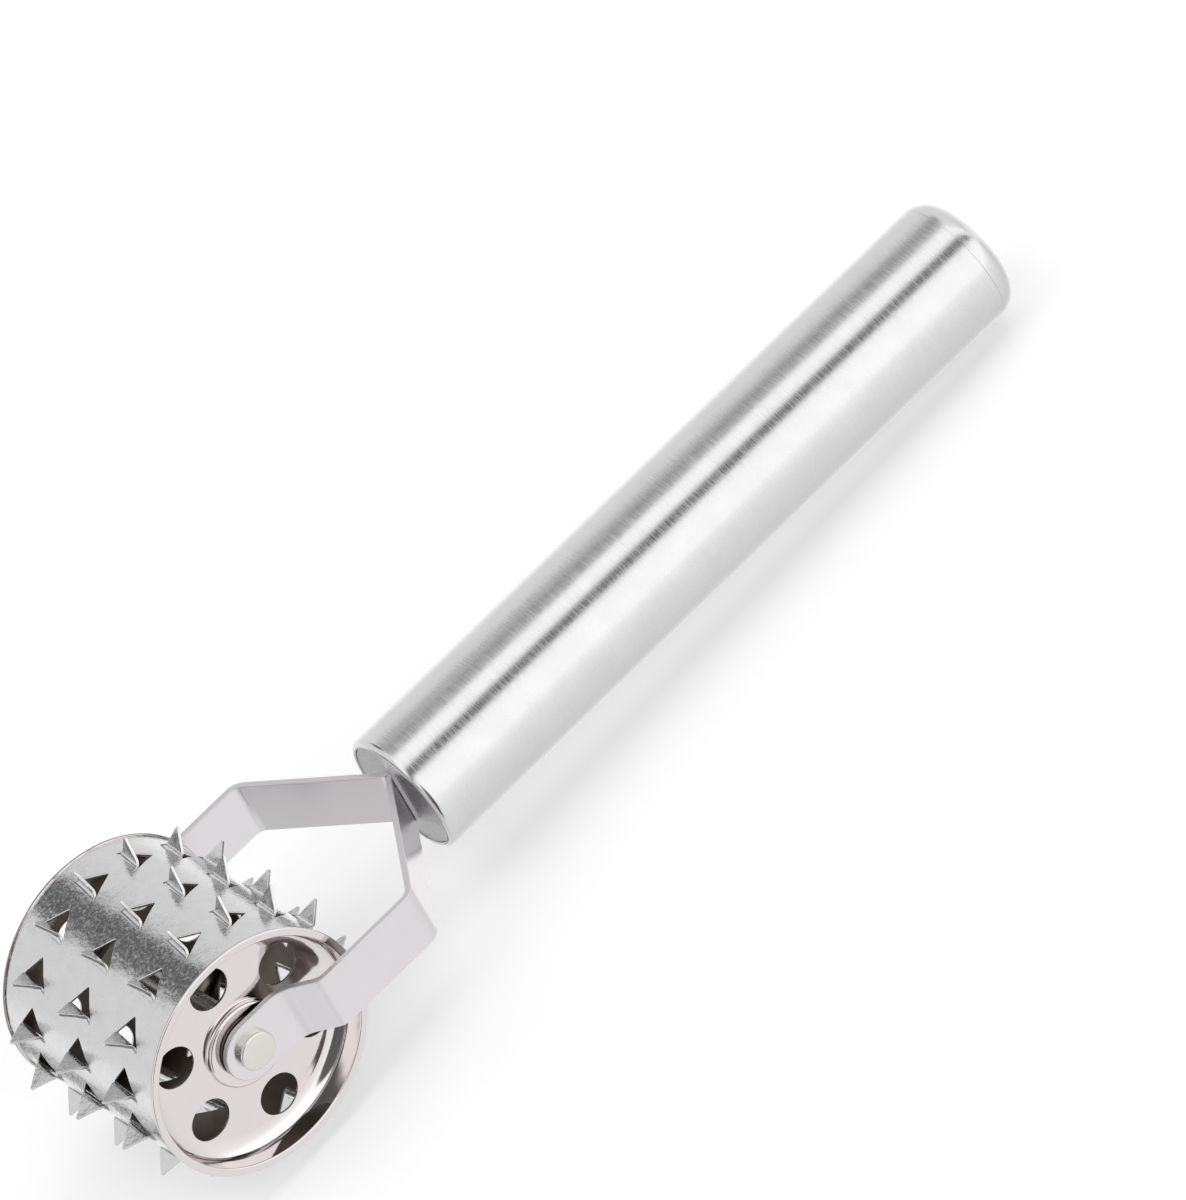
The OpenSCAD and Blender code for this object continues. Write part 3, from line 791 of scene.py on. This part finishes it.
def make_rear_cap():
    skin = Skin()
    edge = HANDLE_LEN - REAR_EDGE_R
    skirt_end, ceiling = edge - SKIRT_LEN, HANDLE_LEN - LID_T
    skirt = HANDLE_R - HANDLE_WALL - SEAT_GAP
    line, up = rounded_line(
        [(skirt - HANDLE_WALL, skirt_end), (skirt, skirt_end), (skirt, edge), (HANDLE_R, edge),
         (HANDLE_R, HANDLE_LEN), (0, HANDLE_LEN)],
        (0.1, 0, 0.06, REAR_EDGE_R - 0.1), 12)
    lathe(skin, line, up, along_handle, HANDLE_SIDES, HANDLE_X)
    inner, inner_up = rounded_line(
        [(0, ceiling), (skirt - HANDLE_WALL, ceiling), (skirt - HANDLE_WALL, skirt_end)], (2.0,), 6)
    lathe(skin, inner, inner_up, along_handle, HANDLE_SIDES, HANDLE_X)
    make_piece("rear_cap", skin, brushed_tube, "frame", ["handle_rear_cap"])


def make_front_disc():
    skin = Skin()
    radius = MOUTH_R - SEAT_GAP
    slot_t, slot_w = STRIP_T + SEAT_GAP, STRIP_W / 2 + SEAT_GAP

    def surface(x, way):
        def over(flat):
            n = len(flat)
            return (np.stack([np.full(n, x), flat[:, 0], flat[:, 1]], 1),
                    np.stack([np.full(n, way), np.zeros(n), np.zeros(n)], 1))
        return over

    slot = rounded_loop(
        [(-slot_t, -slot_w), (slot_t, -slot_w), (slot_t, slot_w), (-slot_t, slot_w)], [0.3] * 4)
    filling = np.concatenate([circle(r, HOLE_SIDES) for r in (3.0, 6.0, 9.0)])
    front = HANDLE_X + DISC_SET_IN
    sheet(skin, circle(radius, CAP_SIDES), [slot], filling, surface(front, -1.0),
          surface(front + DISC_T, 1.0), edge=0.12)
    make_piece("front_disc", skin, brushed_disc, "frame", ["handle_front_disc"])


make_drum()
make_cap("cap_left", -1, "end_cap_left")
make_cap("cap_right", 1, "end_cap_right")
make_arm("arm_left", -1, "fork_arm_left")
make_arm("arm_right", 1, "fork_arm_right")
make_rivet()
make_tube()
make_rear_cap()
make_front_disc()
for node, finish in (
        ("spacer_sleeve", turned_steel), ("thrust_washer_left", turned_steel),
        ("thrust_washer_right", turned_steel), ("hub_bush_left", acetal),
        ("hub_bush_right", acetal)):
    frame["nodes"][node].data.materials.clear()
    frame["nodes"][node].data.materials.append(finish)


# Studio

# Levels of the tent round its length: from the camera's side at the horizon (-180
# degrees) under the tool (-90) to its far side (0), over the top (90) and back (180).
TENT_PANELS = [
    (-180, 1.3), (-165, 1.12), (-140, 1.0), (-105, 0.9), (-85, 0.85), (-65, 0.95), (-45, 1.2),
    (-20, 1.15), (-5, 0.95), (78, 0.95), (84, 1.4), (108, 1.4), (112, 0.15), (126, 0.15),
    (131, 1.4), (180, 1.45)]

# Openings: where each lies, its radius in degrees, and its level against the tent's. They
# give the dark bands and patches that the bright metal mirrors.
OPENINGS = [
    ((0.03, 0.71, 0.70), 14.5, 0.17), ((0.27, 0.36, 0.89), 11, 0.5),
    ((0.45, 0.52, 0.73), 9, 0.5), ((-0.48, -0.87, 0.10), 24, 0.1),
    ((-0.66, -0.68, -0.32), 15, 0.1), ((-0.40, 0.65, -0.65), 7, 0.15),
    ((-0.76, 0.10, -0.65), 12, 0.8), ((-0.30, 0.66, -0.69), 24, 0.9)]
OPENING_BLUR = 3

# What takes the paper from its lit grey to white for the camera.
FLOOR_LIFT = 0.2
FLOOR_HALF_M = 6.0


def make_floor():
    mesh = bpy.data.meshes.new("floor")
    half = FLOOR_HALF_M
    corners = [(-half, -half, 0), (half, -half, 0), (half, half, 0), (-half, half, 0)]
    mesh.from_pydata(corners, [], [(0, 1, 2, 3)])
    material = bpy.data.materials.new("white_paper_floor")
    material.use_nodes = True
    tree = material.node_tree
    shader = tree.nodes["Principled BSDF"]
    shader.inputs["Base Color"].default_value = colour("#F7F7F7")
    shader.inputs["Roughness"].default_value = 0.9
    shader.inputs["Specular IOR Level"].default_value = 0.0
    shader.inputs["Emission Color"].default_value = (1.0, 1.0, 1.0, 1.0)
    path = add_node(tree, "ShaderNodeLightPath")
    lift = add_node(tree, "ShaderNodeMath", {"operation": "MULTIPLY"}, {1: FLOOR_LIFT},
                    {0: path.outputs["Is Camera Ray"]})
    tree.links.new(lift.outputs[0], shader.inputs["Emission Strength"])
    mesh.materials.append(material)
    floor = bpy.data.objects.new("floor", mesh)
    bpy.context.scene.collection.objects.link(floor)
    # Metal mirrors the tent's lower half, which is as white as the paper, all round.
    floor.visible_glossy = False


def make_tent():
    """A light tent round the tool: white for the camera, and for the rest its panels and
    the openings between them."""
    world = bpy.data.worlds.new("light_tent")
    bpy.context.scene.world = world
    world.use_nodes = True
    tree = world.node_tree
    way = add_node(tree, "ShaderNodeTexCoord").outputs["Generated"]
    parts = add_node(tree, "ShaderNodeSeparateXYZ", {}, {}, {0: way})
    angle = add_node(tree, "ShaderNodeMath", {"operation": "ARCTAN2"}, {},
                     {0: parts.outputs["Z"], 1: parts.outputs["Y"]})
    share = add_node(tree, "ShaderNodeMapRange", {}, {"From Min": -math.pi, "From Max": math.pi},
                     {"Value": angle.outputs[0]})
    panels = add_node(tree, "ShaderNodeValToRGB", {}, {}, {"Fac": share.outputs[0]})
    stops = panels.color_ramp.elements
    for k, (degrees, level) in enumerate(TENT_PANELS):
        stop = stops[k] if k < 2 else stops.new(1.0)
        stop.position = (degrees + 180) / 360
        stop.color = (level, level, level, 1.0)
    light = panels.outputs["Color"]
    for at, radius, level in OPENINGS:
        near = add_node(tree, "ShaderNodeVectorMath", {"operation": "DOT_PRODUCT"},
                        {1: Vector(at).normalized()}, {0: way}).outputs["Value"]
        edge, core = (math.cos(math.radians(radius + d)) for d in (OPENING_BLUR, -OPENING_BLUR))
        shade = add_node(
            tree, "ShaderNodeMapRange", {"interpolation_type": "SMOOTHSTEP"},
            {"From Min": edge, "From Max": core, "To Min": 1.0, "To Max": level}, {"Value": near})
        light = add_node(
            tree, "ShaderNodeMix", {"data_type": "RGBA", "blend_type": "MULTIPLY"},
            {"Factor": 1.0}, {"A": light, "B": shade.outputs[0]},
        ).outputs["Result"]
    path = add_node(tree, "ShaderNodeLightPath")
    seen = add_node(tree, "ShaderNodeMath", {"operation": "MAXIMUM"}, {},
                    {0: path.outputs["Is Camera Ray"], 1: path.outputs["Is Transmission Ray"]})
    both = add_node(tree, "ShaderNodeMix", {"data_type": "RGBA"}, {"B": (1.0, 1.0, 1.0, 1.0)},
                    {"Factor": seen.outputs[0], "A": light})
    tree.links.new(both.outputs["Result"], tree.nodes["Background"].inputs["Color"])


make_floor()
make_tent()

# Camera: the place and the focal length that the photograph was taken with.
CAMERA_AT = (-617.18, -1919.05, 1820.51)
CAMERA_AXES = np.array([
    (0.69440741, -0.61492069, -0.37372568),
    (-0.6698149, -0.36257528, -0.64798702),
    (0.26295693, 0.70029401, -0.663658),
])
LENS_PX, PHOTO_LONG_SIDE_PX = 15571.8, 1200
camera = bpy.data.cameras.new("camera")
camera.sensor_width = 36.0
camera.lens = LENS_PX * camera.sensor_width / PHOTO_LONG_SIDE_PX
camera.clip_end = 20.0
viewer = bpy.data.objects.new("camera", camera)
turned = Matrix(turn_to_row(CAMERA_AXES * [[1], [-1], [-1]]).T.tolist())
viewer.matrix_world = Matrix.Translation(to_row([CAMERA_AT])[0]) @ turned.to_4x4()
bpy.context.scene.collection.objects.link(viewer)
bpy.context.scene.camera = viewer

bpy.context.scene.view_settings.view_transform = "Standard"
